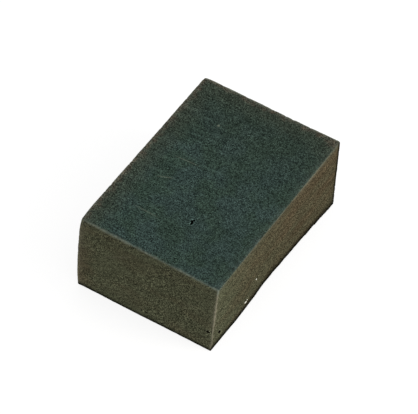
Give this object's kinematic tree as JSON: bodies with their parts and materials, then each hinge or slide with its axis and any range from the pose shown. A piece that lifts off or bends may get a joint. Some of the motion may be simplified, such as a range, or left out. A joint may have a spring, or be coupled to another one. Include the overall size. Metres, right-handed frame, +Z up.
{
  "type": "floral foam brick",
  "caption": "Block of fine rigid green foam, sawn square, into which cut flower and foliage stems are pushed so that an arrangement holds its shape.",
  "frame": {"origin": "centre of the underside, which lies on the table", "axes": "+X along the length, +Y along the width, +Z up through the thickness"},
  "size_m": [0.198, 0.133, 0.08],
  "materials": {
    "foam": "matte, open-celled and slightly powdery; dull green on the top, browner olive on the sides"
  },
  "bodies": {
    "root": {"foam_brick": "foam"}
  },
  "joints": []
}
